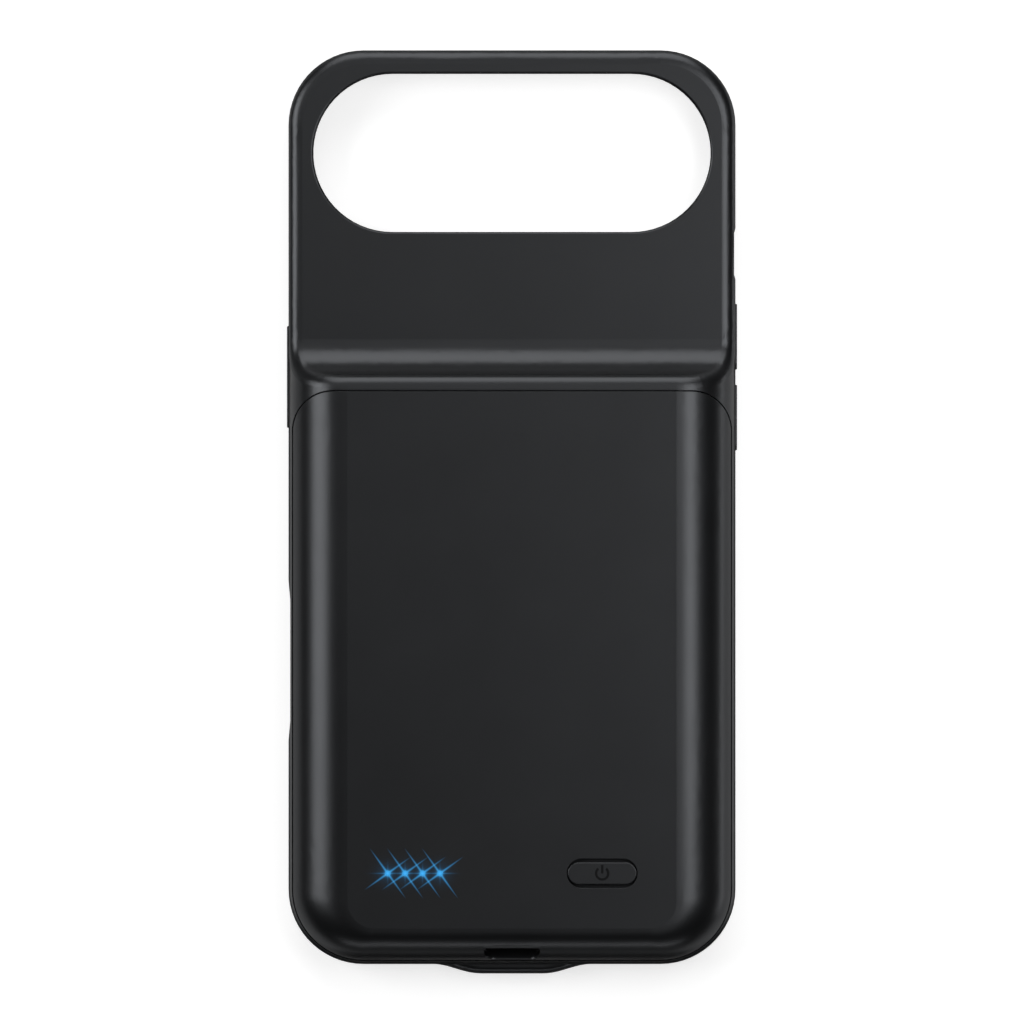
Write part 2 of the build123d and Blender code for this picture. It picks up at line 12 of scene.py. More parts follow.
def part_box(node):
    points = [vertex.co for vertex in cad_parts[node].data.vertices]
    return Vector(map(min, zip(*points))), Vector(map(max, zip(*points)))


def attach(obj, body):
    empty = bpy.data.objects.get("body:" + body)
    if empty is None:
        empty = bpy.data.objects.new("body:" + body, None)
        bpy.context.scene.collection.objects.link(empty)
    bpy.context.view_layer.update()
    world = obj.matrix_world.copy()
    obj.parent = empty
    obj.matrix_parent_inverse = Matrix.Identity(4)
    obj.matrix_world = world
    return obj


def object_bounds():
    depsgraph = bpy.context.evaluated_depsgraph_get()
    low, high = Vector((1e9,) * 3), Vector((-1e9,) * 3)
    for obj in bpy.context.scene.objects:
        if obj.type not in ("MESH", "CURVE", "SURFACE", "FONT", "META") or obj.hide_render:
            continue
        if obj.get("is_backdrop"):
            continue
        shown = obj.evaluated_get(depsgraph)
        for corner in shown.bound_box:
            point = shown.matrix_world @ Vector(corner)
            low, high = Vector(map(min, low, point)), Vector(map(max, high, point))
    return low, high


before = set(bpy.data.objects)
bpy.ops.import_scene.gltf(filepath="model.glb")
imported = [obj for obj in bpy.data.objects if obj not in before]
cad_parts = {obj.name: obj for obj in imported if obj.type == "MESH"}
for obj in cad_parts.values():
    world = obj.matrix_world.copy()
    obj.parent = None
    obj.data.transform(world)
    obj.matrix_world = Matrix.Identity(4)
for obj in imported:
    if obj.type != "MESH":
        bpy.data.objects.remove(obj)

bl_info = {
    "name": "Battery Charging Case",
    "version": (1, 0, 0),
    "blender": (4, 5, 0),
    "location": "View3D > Sidebar > Case",
    "description": "Finishes, contacts, power mark and stage for a battery charging case",
    "category": "Object",
}

MM = 0.001
solid_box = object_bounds()


def length_setting(name, description, default):
    """A length that a user may change."""
    return FloatProperty(
        name=name, description=description, default=default, min=0, unit="LENGTH", precision=5
    )


def share_setting(name, description, default):
    """A share from 0 to 1 that a user may change."""
    return FloatProperty(name=name, description=description, default=default, min=0, max=1, subtype="FACTOR")


def angle_setting(name, description, degrees):
    """An angle that a user may change."""
    return FloatProperty(
        name=name, description=description, default=math.radians(degrees), subtype="ANGLE", precision=5
    )


def power_setting(name, description, default):
    """The power of a lamp."""
    return FloatProperty(name=name, description=description, default=default, min=0, unit="POWER")


def colour_setting(name, description, default):
    """A colour that a user may change."""
    return FloatVectorProperty(
        name=name, description=description, default=default, size=3, min=0, max=1, subtype="COLOR"
    )


class ShellSettings(bpy.types.PropertyGroup):
    """The moulded black plastic of the frame, cover, button and keys"""

    colour: colour_setting("Colour", "Colour of the moulded plastic", (0.0019, 0.00195, 0.0022))
    tint: colour_setting("Tint", "Tint of what the plastic reflects", (0.92, 0.95, 1.0))
    roughness: share_setting("Roughness", "How far the plastic spreads its reflections", 0.31)
    grain: length_setting("Grain", "Width of one pip of the moulded grain", 0.2 * MM)
    grain_depth: length_setting("Grain depth", "Height of the moulded grain", 0.0012 * MM)
    cloud: length_setting("Cloud", "Width of the slow changes in tone and gloss", 14 * MM)
    edge: length_setting("Edge", "Radius that the plastic's sharp edges are eased by", 0.12 * MM)


class LampSettings(bpy.types.PropertyGroup):
    """The row of status lamps, and the painted glow round them on the cover: a halo, a haze, flare rays and
    spikes
    """

    count: IntProperty(name="Count", description="Number of lamps in the row", default=4, min=1)
    pitch: length_setting("Pitch", "Distance from one lamp to the next", 3.07 * MM)
    # core colours the lit pins; light, halo, rays and spikes set the glow painted on the cover round each
    # lamp
    core: colour_setting("Core", "Colour of a lamp's middle", (0.043, 0.45, 1.0))
    light: colour_setting("Light", "Colour of the light round a lamp", (0.042, 0.4, 0.88))
    halo: length_setting("Halo", "Width of the bright ring round a lamp", 0.5 * MM)
    steep_ray: length_setting("Steep ray", "Reach of the steeper pair of rays", 5.5 * MM)
    flat_ray: length_setting("Flat ray", "Reach of the flatter pair of rays", 5.1 * MM)
    steep_slant: angle_setting("Steep slant", "Slant of the steeper rays to the row", -54.3)
    flat_slant: angle_setting("Flat slant", "Slant of the flatter rays to the row", 35.5)
    ray_width: length_setting("Ray width", "Width of a ray beside its lamp", 0.185 * MM)
    halo_gain: share_setting("Halo gain", "Brightness of the ring round a lamp", 0.75)
    haze_gain: share_setting("Haze gain", "Brightness of the wide haze round a lamp", 0.045)
    ray_gain: share_setting("Ray gain", "Brightness of the rays", 0.62)
    spike_gain: share_setting("Spike gain", "Brightness of the short level and upright spikes", 0.24)


class MarkSettings(bpy.types.PropertyGroup):
    """The power sign on the button"""

    colour: colour_setting("Colour", "Colour of the sign", (0.0025, 0.0025, 0.003))
    ring: length_setting("Ring", "Diameter of the sign's ring", 2.55 * MM)
    stroke: length_setting("Stroke", "Width of the sign's lines", 0.42 * MM)
    height: length_setting("Height", "How far the sign stands on the button", 0.012 * MM)
    opening: angle_setting("Opening", "Part of the ring left open at the top", 78)


class ContactSettings(bpy.types.PropertyGroup):
    """The gilded contacts of the charging port and the plug"""

    colour: colour_setting("Colour", "Colour of the plating", (0.83, 0.58, 0.22))
    count: IntProperty(name="Count", description="Contacts in one row", default=12, min=1)
    pitch: length_setting("Pitch", "Distance from one contact to the next", 0.5 * MM)
    width: length_setting("Width", "Width of a contact", 0.28 * MM)
    port_length: length_setting("Port length", "Length of a contact on the port's tongue", 3.6 * MM)
    plug_length: length_setting("Plug length", "Length of a contact in the plug's mouth", 4.4 * MM)
    thickness: length_setting("Thickness", "How far a contact stands out of its carrier", 0.04 * MM)


class StageSettings(bpy.types.PropertyGroup):
    """The floor, the lamps round it and the camera"""

    floor: colour_setting("Floor", "Colour of the floor", (0.5, 0.5, 0.5))
    floor_lift: share_setting("Floor lift", "Brightness that the floor shows by itself", 0.7)
    floor_sheen: share_setting("Floor sheen", "Share of that brightness that shows in reflections", 0.35)
    card_side: length_setting("Card at the sides", "Reach of the black card past the case's sides", 5 * MM)
    card_head: length_setting("Card at the head", "Reach of the black card past the camera end", 12 * MM)
    card_foot: length_setting("Card at the foot", "Reach of the black card past the bottom end", 7.6 * MM)
    foot_card: length_setting("Foot card", "Distance from the bottom end to a second black card", 11.5 * MM)
    foot_card_reach: length_setting(
        "Foot card reach", "Reach of the second black card past the bottom end", 75 * MM
    )
    room: share_setting("Room", "Brightness of the room", 0.03)
    left_power: power_setting("Left", "Power of the left softbox", 11.0)
    right_power: power_setting("Right", "Power of the right softbox", 0.63)
    low_power: power_setting("Low right", "Power of the low strip light on the right", 2.4)
    head_power: power_setting("Head", "Power of the softbox past the head", 16.5)
    crown_power: power_setting("Crown", "Power of the small softbox over the camera end", 0.31)
    foot_power: power_setting("Foot", "Power of the strip light past the foot", 2.6)
    top_power: power_setting("Top", "Power of the softbox over the case", 0.31)
    camera_height: length_setting("Camera height", "Height of the camera over the floor", 3.0)
    view_width: length_setting("View width", "Width of what the camera sees at the case's edge", 181.0 * MM)
    view_level: length_setting("View level", "Height of the case's edge over the floor", 6.6 * MM)


class CaseSettings(bpy.types.PropertyGroup):
    """All settings of the battery charging case"""

    shell: PointerProperty(type=ShellSettings)
    lamps: PointerProperty(type=LampSettings)
    mark: PointerProperty(type=MarkSettings)
    contacts: PointerProperty(type=ContactSettings)
    stage: PointerProperty(type=StageSettings)


def both_ways(operation):
    """An operator that adds a Math node, and its reflected form."""

    def forward(value, other):
        return value.math(operation, value, other)

    def reflected(value, other):
        return value.math(operation, other, value)

    return forward, reflected


class Value:
    """A number that changes over a surface. Arithmetic on it adds Math nodes to its finish."""

    __add__, __radd__ = both_ways("ADD")
    __sub__, __rsub__ = both_ways("SUBTRACT")
    __mul__, __rmul__ = both_ways("MULTIPLY")
    __truediv__, __rtruediv__ = both_ways("DIVIDE")
    __pow__, __rpow__ = both_ways("POWER")

    def __init__(self, finish, socket):
        self.finish = finish
        self.socket = socket

    def math(self, operation, *numbers):
        """A Math node that is fed these numbers."""
        node = self.finish.tree.nodes.new("ShaderNodeMath")
        node.operation = operation
        for socket, number in zip(node.inputs, numbers):
            self.finish.feed(socket, number)
        return Value(self.finish, node.outputs[0])

    def __lt__(self, other):
        return self.math("LESS_THAN", self, other)

    def __gt__(self, other):
        return self.math("GREATER_THAN", self, other)

    def __abs__(self):
        return self.math("ABSOLUTE", self)

    def __round__(self):
        return self.math("ROUND", self)

    def wave(self):
        """A sine of this number."""
        return self.math("SINE", self)

    def fraction(self):
        """What is left of this number after its whole part."""
        return self.math("FRACT", self)

    def bell(self):
        """One at zero, falling away on both sides."""
        return self.math("EXPONENT", self * self * -1)

    def within(self, low, high):
        """This number, held between two limits."""
        return self.math("MINIMUM", self.math("MAXIMUM", self, low), high)


class Finish:
    """One material: its node tree and the shader that its parts feed."""

    def __init__(self, name):
        self.material = bpy.data.materials.new(name)
        self.material.use_nodes = True
        self.tree = self.material.node_tree
        self.tree.nodes.clear()
        self.place = self.node("ShaderNodeTexCoord", output="Object")
        split = self.node("ShaderNodeSeparateXYZ", inputs={"Vector": self.place}).socket.node
        self.x, self.y, self.z = (Value(self, out) for out in split.outputs)

    def feed(self, socket, value):
        """Links a socket to a value, or sets it to a plain number or colour."""
        if isinstance(value, Value):
            self.tree.links.new(value.socket, socket)
        else:
            socket.default_value = value

    def node(self, kind, settings=None, inputs=None, output=None):
        """Adds a node: its settings come first, then what its sockets are fed."""
        node = self.tree.nodes.new(kind)
        for name, value in (settings or {}).items():
            setattr(node, name, value)
        for name, value in (inputs or {}).items():
            self.feed(next(s for s in node.inputs if s.enabled and s.name == name), value)
        shown = [s for s in node.outputs if s.enabled and output in (None, s.name)]
        return Value(self, shown[0]) if shown else None

    def cloud(self, size, detail=2, vector=None):
        """Cloudy change from 0 to 1, with lumps of about this size."""
        inputs = {"Vector": vector or self.place, "Scale": 1 / size, "Detail": detail}
        return self.node("ShaderNodeTexNoise", inputs=inputs)

    def stretched(self, scale):
        """Object coordinates, stretched along each axis."""
        return self.node("ShaderNodeMapping", inputs={"Vector": self.place, "Scale": scale})

    def mix(self, factor, first, second):
        """A colour between two colours."""
        colours = [c if isinstance(c, Value) else (*c, 1) for c in (first, second)]
        inputs = {"Factor": factor, "A": colours[0], "B": colours[1]}
        return self.node("ShaderNodeMix", {"data_type": "RGBA"}, inputs)

    def bump(self, height, depth, edge=0.0):
        """A surface normal that follows a height from 0 to 1, over edges that may be eased by a radius."""
        inputs = {"Height": height, "Distance": depth}
        if edge:
            inputs["Normal"] = self.node("ShaderNodeBevel", {"samples": 4}, {"Radius": edge})
        return self.node("ShaderNodeBump", inputs=inputs)

    def shade(self, **inputs):
        """Ends the finish with a surface shader. Socket names are written with _ for a space."""
        named = {name.replace("_", " "): value for name, value in inputs.items()}
        surface = self.node("ShaderNodeBsdfPrincipled", inputs=named)
        self.node("ShaderNodeOutputMaterial", inputs={"Surface": surface})
        return self.material


def paler(colour, gain):
    """A colour made brighter or darker."""
    return tuple(min(1, c * gain) for c in colour)


def moulded_black(name, shell, gloss=0.0, painted_glow=None, matt_below=None):
    """Satin black plastic with a fine moulded grain and slow cloudy changes in tone and gloss. What lies
    below a level may be left matt."""
    finish = Finish(name)
    cloud = finish.cloud(shell.cloud, detail=3)
    grain = finish.cloud(shell.grain, detail=1)
    cloud_spread, grain_spread, matt = 0.05, 0.04, 0.5
    roughness = shell.roughness - gloss + cloud_spread * (cloud - 0.5) + grain_spread * (grain - 0.5)
    if matt_below:
        roughness = roughness + matt * (finish.z < matt_below)
    inputs = {
        "Base_Color": finish.mix(cloud, paler(shell.colour, 0.85), paler(shell.colour, 1.15)),
        "Roughness": roughness,
        "Specular_Tint": (*shell.tint, 1),
        "Normal": finish.bump(grain, shell.grain_depth, shell.edge),
    }
    # The cover's painted glow: light painted round its lamps, shown as emission
    if painted_glow:
        inputs["Emission_Color"] = painted_glow(finish)
        inputs["Emission_Strength"] = 1.0
    return finish.shade(**inputs)


class LampRow:
    """Where the lamps are: the row's middle, and distances from the nearest lamp on a surface."""

    def __init__(self, finish, lamps):
        low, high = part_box("status_leds")
        middle = (low + high) / 2
        self.u = finish.x - middle.x
        self.v = finish.y - middle.y
        self.pitch = lamps.pitch
        self.last = lamps.count - 1

    def nearest(self, along):
        """Offset from the row's middle of the lamp that this position along the row is nearest to."""
        number = round(along / self.pitch + self.last / 2).within(0, self.last)
        return (number - self.last / 2) * self.pitch

    def beside(self):
        """Distance along the row from the nearest lamp."""
        return self.u - self.nearest(self.u)

    def distance(self):
        """Distance from the nearest lamp."""
        across = self.beside()
        return (across * across + self.v * self.v) ** 0.5

    def ray(self, slant, reach, width):
        """A thin ray through every lamp, at a slant to the row, fading to nothing at its reach."""
        cos, sin = math.cos(slant), math.sin(slant)
        across = self.v * cos - self.u * sin
        lamp = self.nearest(across / -sin)
        along = abs(self.u * cos + self.v * sin - lamp * cos)
        left = (1 - along / reach).within(0.0001, 1)
        tip = 0.3
        return left * ((across + lamp * sin) / ((tip + (1 - tip) * left) * width)).bell()


def painted_lamp_glow(finish, lamps):
    """Painted light on the cover: a painted halo and a wide haze round each lamp, its thin slanted flare
    rays, and short spikes along and across the row, all painted as glow."""
    row = LampRow(finish, lamps)
    distance = row.distance()

    def painted_round_glow(halos):
        return (distance / (halos * lamps.halo)).bell()

    haze_reach, level_reach, upright_reach, upright_share = 3.5, 3.6, 2.6, 0.6
    spike_width = 0.6 * lamps.ray_width
    # Painted flare rays: thin slanted streaks of light painted through each lamp
    rays = row.ray(lamps.steep_slant, lamps.steep_ray, lamps.ray_width)
    rays = rays + row.ray(lamps.flat_slant, lamps.flat_ray, lamps.ray_width)
    level = painted_round_glow(level_reach) * (row.v / spike_width).bell()
    upright = upright_share * painted_round_glow(upright_reach) * (row.beside() / spike_width).bell()
    painted_glow = lamps.halo_gain * painted_round_glow(1) + lamps.haze_gain * painted_round_glow(haze_reach)
    painted_glow = painted_glow + lamps.ray_gain * rays + lamps.spike_gain * (level + upright)
    return finish.mix(painted_glow.within(0, 1), (0, 0, 0), lamps.light)


def light_pin(name, lamps):
    """A clear pin lit from below: palest in its middle, with a little haze in the plastic."""
    finish = Finish(name)
    row = LampRow(finish, lamps)
    haze = finish.cloud(0.4 * MM)
    pin_radius = 0.5 * MM
    rim = (row.distance() / pin_radius + 0.2 * (haze - 0.5)).within(0, 1)
    return finish.shade(
        Base_Color=finish.mix(haze, (0.008, 0.024, 0.04), (0.012, 0.032, 0.05)),
        Roughness=0.16 + 0.1 * haze,
        Emission_Color=finish.mix(rim, lamps.core, paler(lamps.light, 0.7)),
        Emission_Strength=1.0,
    )


def brushed_metal(name, colour, roughness):
    """Rolled metal with fine lines along its length."""
    finish = Finish(name)
    lines = finish.cloud(0.05 * MM, detail=2, vector=finish.stretched((1, 0.03, 1)))
    stain = finish.cloud(2.5 * MM, detail=3)
    return finish.shade(
        Base_Color=finish.mix(stain, paler(colour, 0.88), colour),
        Metallic=1.0,
        Roughness=roughness + 0.14 * (lines - 0.5) + 0.06 * (stain - 0.5),
        Normal=finish.bump(lines, 0.0006 * MM),
    )


def plain_plastic(name, colour, roughness, speck=0.12 * MM, sheen=0.5):
    """Moulded plastic with a fine speckle."""
    finish = Finish(name)
    specks = finish.cloud(speck, detail=1)
    return finish.shade(
        Base_Color=finish.mix(specks, paler(colour, 0.8), paler(colour, 1.2)),
        Roughness=roughness + 0.1 * (specks - 0.5),
        Specular_IOR_Level=sheen,
        Normal=finish.bump(specks, 0.002 * MM),
    )


def board_laminate(name):
    """Green board: copper tracks show paler under the mask, over a fine weave. Its end under the port is
    coloured black as painted shade, because it shows through the port's opening."""
    finish = Finish(name)
    track_field, tracks_each, painted_shade_reach, weave_rate = 5 * MM, 6, 3 * MM, 9000
    edge_rate, gap = 6, 1.9
    inputs = {"Vector": finish.place, "Scale": 1 / track_field}
    cells = finish.node("ShaderNodeTexVoronoi", {"distance": "MANHATTAN"}, inputs, "Distance")
    tracks = (abs((cells * tracks_each).fraction() - 0.5) * edge_rate - gap).within(0, 1)
    weave = (finish.x * weave_rate).wave() * (finish.y * weave_rate).wave()
    mask = finish.mix(tracks, (0.008, 0.075, 0.03), (0.02, 0.15, 0.06))
    # Painted shade: the board's end under the port is coloured black, so the port's opening shows dark
    painted_shade_end = abs(finish.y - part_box("main_board")[0].y) < painted_shade_reach
    return finish.shade(
        Base_Color=finish.mix(painted_shade_end, mask, (0.004, 0.004, 0.0045)),
        Roughness=0.34 - 0.06 * tracks,
        Normal=finish.bump(0.8 * tracks + 0.1 * weave, 0.01 * MM),
    )


def ribbon_film(name):
    """Amber film with copper lines along the cable."""
    finish = Finish(name)
    line_pitch, half_gap = 0.5 * MM, 0.24
    lines = abs((finish.x / line_pitch).fraction() - 0.5) > half_gap
    haze = finish.cloud(1.2 * MM)
    film = finish.mix(lines, (0.36, 0.13, 0.02), (0.62, 0.3, 0.09))
    return finish.shade(Base_Color=film, Roughness=0.24 + 0.12 * haze, Normal=finish.bump(lines, 0.005 * MM))


def cell_foil(name):
    """Laminated foil: pale grey, faintly crumpled, with a soft metal sheen."""
    finish = Finish(name)
    crumple = finish.cloud(3.5 * MM, detail=5)
    fine = finish.cloud(0.4 * MM, detail=2)
    return finish.shade(
        Base_Color=finish.mix(crumple, (0.5, 0.51, 0.53), (0.66, 0.67, 0.69)),
        Metallic=0.85,
        Roughness=0.34 + 0.12 * (crumple - 0.5) + 0.06 * (fine - 0.5),
        Normal=finish.bump(crumple + 0.15 * fine, 0.05 * MM),
    )


def woven_tape(name):
    """White tape with crossed fibres."""
    finish = Finish(name)
    weave_rate = 6200
    weave = (finish.x * weave_rate).wave() * (finish.y * weave_rate).wave()
    fibre = finish.cloud(0.6 * MM, detail=4)
    return finish.shade(
        Base_Color=finish.mix(fibre, (0.7, 0.69, 0.66), (0.86, 0.86, 0.84)),
        Roughness=0.72 + 0.1 * (fibre - 0.5),
        Normal=finish.bump(0.5 * weave + fibre, 0.01 * MM),
    )


def wire_jacket(name, colour):
    """Soft insulated wire, slightly uneven along its length."""
    finish = Finish(name)
    ripple = finish.cloud(0.8 * MM, detail=3)
    return finish.shade(
        Base_Color=finish.mix(ripple, paler(colour, 0.82), paler(colour, 1.1)),
        Roughness=0.46 + 0.12 * (ripple - 0.5),
        Normal=finish.bump(ripple, 0.01 * MM),
    )


def capacitor_body(name):
    """Fired tan bodies with tinned ends."""
    finish = Finish(name)
    count, length, bare = 5, 1.6 * MM, 0.96 * MM
    low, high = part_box("filter_capacitors")
    pitch = (high.x - low.x - length) / (count - 1)
    along = ((finish.x - low.x) / pitch).fraction() * pitch
    tinned = abs(along - length / 2) > bare / 2
    grit = finish.cloud(0.1 * MM)
    body = finish.mix(grit, (0.36, 0.25, 0.15), (0.5, 0.37, 0.24))
    return finish.shade(
        Base_Color=finish.mix(tinned, body, (0.66, 0.66, 0.67)),
        Metallic=tinned,
        Roughness=0.5 - 0.16 * tinned + 0.1 * (grit - 0.5),
        Normal=finish.bump(grit, 0.004 * MM),
    )


def screw_head(name):
    """Plated screws with a recess of crossed slots drawn in the head, dented and coloured near black as
    painted shade.
    """
    finish = Finish(name)
    head_radius, arm_reach, arm_half, skin = 1.2 * MM, 0.8 * MM, 0.16 * MM, 0.01 * MM
    low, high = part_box("board_screws")
    middle = (low + high) / 2
    across = abs(abs(finish.x - middle.x) - (high.x - low.x) / 2 + head_radius)
    along = abs(abs(finish.y - middle.y) - (high.y - low.y) / 2 + head_radius)
    arms = ((across < arm_half) + (along < arm_half)).within(0, 1)
    shaded_recess = arms * ((along + across) < arm_reach) * (finish.z > high.z - skin)
    wear = finish.cloud(0.3 * MM, detail=3)
    return finish.shade(
        # Painted shade: the recess is coloured near black
        Base_Color=finish.mix(shaded_recess, (0.52, 0.52, 0.54), (0.04, 0.04, 0.045)),
        Metallic=1.0,
        Roughness=0.28 + 0.2 * shaded_recess + 0.12 * (wear - 0.5),
        Normal=finish.bump(wear - 4 * shaded_recess, 0.02 * MM),
    )


def paint(material, *nodes):
    """Gives solids their material."""
    for name in nodes:
        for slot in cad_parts[name].material_slots:
            slot.material = material


def piece_from(bm, name, material, body):
    """Ends a new piece: closed, facing outwards, with its material, riding on a body of the case."""
    same_place = 0.0005 * MM
    bmesh.ops.remove_doubles(bm, verts=bm.verts, dist=same_place)
    bmesh.ops.recalc_face_normals(bm, faces=bm.faces)
    mesh = bpy.data.meshes.new(name)
    bm.to_mesh(mesh)
    bm.free()
    mesh.materials.append(material)
    piece = bpy.data.objects.new(name, mesh)
    bpy.context.scene.collection.objects.link(piece)
    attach(piece, body)


def bar(bm, low, high, radius):
    """A bar between two corners with slightly rounded edges."""
    size = high - low
    place = Matrix.Translation((low + high) / 2) @ Matrix.Diagonal((*size, 1))
    made = bmesh.ops.create_cube(bm, size=1, matrix=place)
    edges = {edge for vert in made["verts"] for edge in vert.link_edges}
    bmesh.ops.bevel(
        bm, geom=list(edges), offset=radius, affect="EDGES", segments=2, profile=0.5, material=-1
    )


class CASE_OT_finish_shell(bpy.types.Operator):
    """Give the frame, cover, button and side keys their moulded black finish, with the lamps' painted glow on
    the cover
    """

    bl_idname = "battery_case.finish_shell"
    bl_label = "Finish shell"

    def execute(self, context):
        case = context.scene.battery_case
        paint(moulded_black("frame_black", case.shell), "cradle_frame")
        cover = moulded_black("cover_black", case.shell, painted_glow=lambda finish: painted_lamp_glow(finish, case.lamps))
        paint(cover, "battery_cover")
        cap_height = 0.8 * MM
        cap_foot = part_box("power_button")[1].z - cap_height
        paint(moulded_black("button_black", case.shell, gloss=-0.03, matt_below=cap_foot), "power_button")
        keys = moulded_black("key_black", case.shell, gloss=0.02)
        paint(keys, "side_key", "volume_up_key", "volume_down_key")
        return {"FINISHED"}


class CASE_OT_finish_lamps(bpy.types.Operator):
    """Light the four pins in the cover and finish the lamps under them"""

    bl_idname = "battery_case.finish_lamps"
    bl_label = "Finish lamps"

    def execute(self, context):
        lamps = context.scene.battery_case.lamps
        paint(light_pin("light_pin", lamps), "light_guide")
        paint(plain_plastic("lamp_white", (0.72, 0.72, 0.66), 0.3), "status_leds")
        return {"FINISHED"}


class CASE_OT_finish_connectors(bpy.types.Operator):
    """Finish the charging port and the plug"""

    bl_idname = "battery_case.finish_connectors"
    bl_label = "Finish connectors"

    def execute(self, context):
        paint(brushed_metal("port_steel", (0.5, 0.5, 0.52), 0.34), "charge_port_shell")
        paint(brushed_metal("plug_steel", (0.62, 0.62, 0.64), 0.26), "plug_shell")
        paint(plain_plastic("connector_black", (0.012, 0.012, 0.013), 0.5), "charge_port_tongue", "plug_core")
        return {"FINISHED"}


class CASE_OT_finish_inside(bpy.types.Operator):
    """Finish the boards, the cell and everything else under the cover"""

    bl_idname = "battery_case.finish_inside"
    bl_label = "Finish inside"

    def execute(self, context):
        paint(board_laminate("board_laminate"), "main_board", "protection_board", "plug_board")
        paint(ribbon_film("ribbon_film"), "plug_ribbon")
        paint(cell_foil("cell_foil"), "battery_cell")
        paint(woven_tape("tape_white"), "cell_tape")
        paint(brushed_metal("tab_nickel", (0.66, 0.63, 0.57), 0.32), "cell_tabs")
        paint(wire_jacket("lead_red", (0.42, 0.015, 0.012)), "lead_positive")
        paint(wire_jacket("lead_black", (0.012, 0.012, 0.012)), "lead_negative")
        paint(plain_plastic("switch_plastic", (0.05, 0.05, 0.052), 0.45), "switch_body", "switch_plunger")
        paint(plain_plastic("coil_grey", (0.1, 0.1, 0.105), 0.62, speck=0.25 * MM), "boost_inductor")
        paint(plain_plastic("chip_black", (0.014, 0.014, 0.015), 0.55, speck=0.06 * MM), "control_chips")
        paint(capacitor_body("capacitor_tan"), "filter_capacitors")
        paint(screw_head("screw_steel"), "board_screws")
        return {"FINISHED"}


class CASE_OT_add_power_mark(bpy.types.Operator):
    """Set the power sign on the button: an open ring and a short upright line"""

    bl_idname = "battery_case.add_power_mark"
    bl_label = "Add power mark"

    def execute(self, context):
        mark = context.scene.battery_case.mark
        low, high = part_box("power_button")
        middle = Vector(((low.x + high.x) / 2, (low.y + high.y) / 2, high.z))
        bm = bmesh.new()
        half = mark.stroke / 2
        radius = mark.ring / 2 - half
        start = Matrix.Rotation(math.pi / 2 + mark.opening / 2, 4, "Z")
        section = [(radius - half, 0, -half), (radius + half, 0, -half)]
        section += [(radius + half, 0, mark.height), (radius - half, 0, mark.height)]
        face = bm.faces.new([bm.verts.new(middle + start @ Vector(corner)) for corner in section])
        sweep = 2 * math.pi - mark.opening
        bmesh.ops.spin(
            bm, geom=[face], cent=middle, axis=(0, 0, 1), angle=sweep, steps=48, use_duplicate=False
        )
        bmesh.ops.holes_fill(bm, edges=bm.edges, sides=4)
        foot = middle + Vector((-half, 0, -half))
        bar(bm, foot, middle + Vector((half, radius + 2 * half, mark.height)), mark.height / 2)
        paint_mark = plain_plastic("mark_black", mark.colour, 0.5, sheen=0.1)
        piece_from(bm, "power_mark", paint_mark, "power_button")
        return {"FINISHED"}


class CASE_OT_add_contacts(bpy.types.Operator):
    """Set the gilded contacts on the port's tongue and in the plug's mouth"""

    bl_idname = "battery_case.add_contacts"
    bl_label = "Add contacts"

    def execute(self, context):
        contacts = context.scene.battery_case.contacts
        gilt = brushed_metal("contact_gilt", contacts.colour, 0.28)
        tongue_tip, tongue_half = 0.5 * MM, 0.35 * MM
        low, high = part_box("charge_port_tongue")
        level = (low.z + high.z) / 2
        bm = bmesh.new()
        self.rows(bm, contacts, low.y + tongue_tip, contacts.port_length, level, tongue_half)
        piece_from(bm, "port_contacts", gilt, "case")
        mouth_edge, mouth_half = 0.6 * MM, 0.4 * MM
        low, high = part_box("plug_core")
        level = (low.z + high.z) / 2
        start = high.y - mouth_edge - contacts.plug_length
        bm = bmesh.new()
        self.rows(bm, contacts, start, contacts.plug_length, level, mouth_half - contacts.thickness)
        piece_from(bm, "plug_contacts", gilt, "case")
        return {"FINISHED"}

    def rows(self, bm, contacts, start, length, level, reach):
        """Two rows of contacts, one above and one below a level."""
        for side in (-1, 1):
            for number in range(contacts.count):
                x = (number - (contacts.count - 1) / 2) * contacts.pitch
                z = level + side * (reach + contacts.thickness / 2)
                middle = Vector((x, start + length / 2, z))
                half = Vector((contacts.width, length, contacts.thickness)) / 2
                bar(bm, middle - half, middle + half, contacts.thickness / 4)


def softbox(name, place, size, power, shift):
    """A soft rectangular lamp that faces the case. It may be shifted towards the camera end."""
    light = bpy.data.lights.new(name, "AREA")
    light.shape = "RECTANGLE"
    light.size, light.size_y = size
    light.energy = power
    lamp = bpy.data.objects.new(name, light)
    bpy.context.scene.collection.objects.link(lamp)
    lamp.location = place + Vector((0, shift, 0))
    lamp.rotation_euler = (-place).to_track_quat("-Z", "Y").to_euler()
    lamp.visible_camera = False


def softbox_ring(stage):
    """Softboxes round the case. Each one leans from straight up, by an angle, towards the side that it stands
    on. The shift keeps the highlights from running evenly down to the bottom end."""
    across, along, up = Vector((1, 0, 0)), Vector((0, 1, 0)), Vector((0, 0, 1))
    far, high, near, close = 1.6, 1.0, 0.6, 0.45
    ring = [
        ("left_softbox", across, -47, far, (0.85, 0.75), stage.left_power, 0.275),
        ("right_softbox", across, 25, close, (0.3, 0.14), stage.right_power, 0.05),
        ("low_strip", across, 86, far, (1.2, 0.2), stage.low_power, 0),
        ("top_softbox", across, 11, high, (0.6, 0.45), stage.top_power, -0.17),
        ("head_softbox", along, 58, far, (1.4, 1.2), stage.head_power, 0),
        ("crown_softbox", along, 18, near, (0.5, 0.3), stage.crown_power, 0),
        ("foot_strip", along, -66, far, (1.6, 0.16), stage.foot_power, 0),
    ]
    for name, side, degrees, distance, size, power, shift in ring:
        lean = math.radians(degrees)
        place = distance * (math.sin(lean) * side + math.cos(lean) * up)
        softbox(name, place, size, power, shift)


